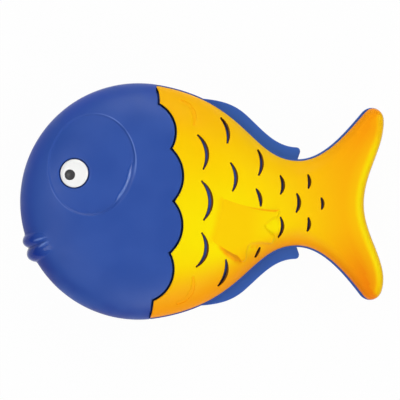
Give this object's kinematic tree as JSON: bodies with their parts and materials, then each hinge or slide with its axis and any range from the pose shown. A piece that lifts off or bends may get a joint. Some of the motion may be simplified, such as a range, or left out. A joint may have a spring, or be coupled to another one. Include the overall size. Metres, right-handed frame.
{
  "type": "fish rattle",
  "caption": "Hand rattle shaped like a fish: two hollow half shells with flat fins, a slotted scale cover on each side, domed eyes and loose balls sealed inside.",
  "frame": {"origin": "middle of the toy's length and height, on the surface that it lies on", "axes": "+X from the nose to the tail, +Y from the belly to the back, +Z from the right side up to the left side"},
  "size_m": [0.1499, 0.0964, 0.034],
  "materials": {
    "blue_plastic": "satin",
    "yellow_plastic": "satin",
    "white_plastic": "gloss",
    "dark_plastic": "gloss",
    "ball_plastic": "matte"
  },
  "bodies": {
    "fish": {"left_body_shell": "blue_plastic", "right_body_shell": "blue_plastic", "left_scale_cover": "yellow_plastic", "right_scale_cover": "yellow_plastic", "left_eye_white": "white_plastic", "right_eye_white": "white_plastic", "left_pupil": "dark_plastic", "right_pupil": "dark_plastic"},
    "ball_1": {"rattle_ball_1": "ball_plastic"},
    "ball_2": {"rattle_ball_2": "ball_plastic"},
    "ball_3": {"rattle_ball_3": "ball_plastic"},
    "ball_4": {"rattle_ball_4": "ball_plastic"},
    "ball_5": {"rattle_ball_5": "ball_plastic"},
    "ball_6": {"rattle_ball_6": "ball_plastic"}
  },
  "joints": [
    {"name": "ball_1_hop", "type": "slide", "parent": "fish", "child": "ball_1", "axis": [0, 0, 1], "range_m": [0, 0.0206]},
    {"name": "ball_2_hop", "type": "slide", "parent": "fish", "child": "ball_2", "axis": [0, 0, 1], "range_m": [0, 0.0206]},
    {"name": "ball_3_hop", "type": "slide", "parent": "fish", "child": "ball_3", "axis": [0, 0, 1], "range_m": [0, 0.0206]},
    {"name": "ball_4_hop", "type": "slide", "parent": "fish", "child": "ball_4", "axis": [0, 0, 1], "range_m": [0, 0.0206]},
    {"name": "ball_5_hop", "type": "slide", "parent": "fish", "child": "ball_5", "axis": [0, 0, 1], "range_m": [0, 0.0206]},
    {"name": "ball_6_hop", "type": "slide", "parent": "fish", "child": "ball_6", "axis": [0, 0, 1], "range_m": [0, 0.0206]}
  ]
}
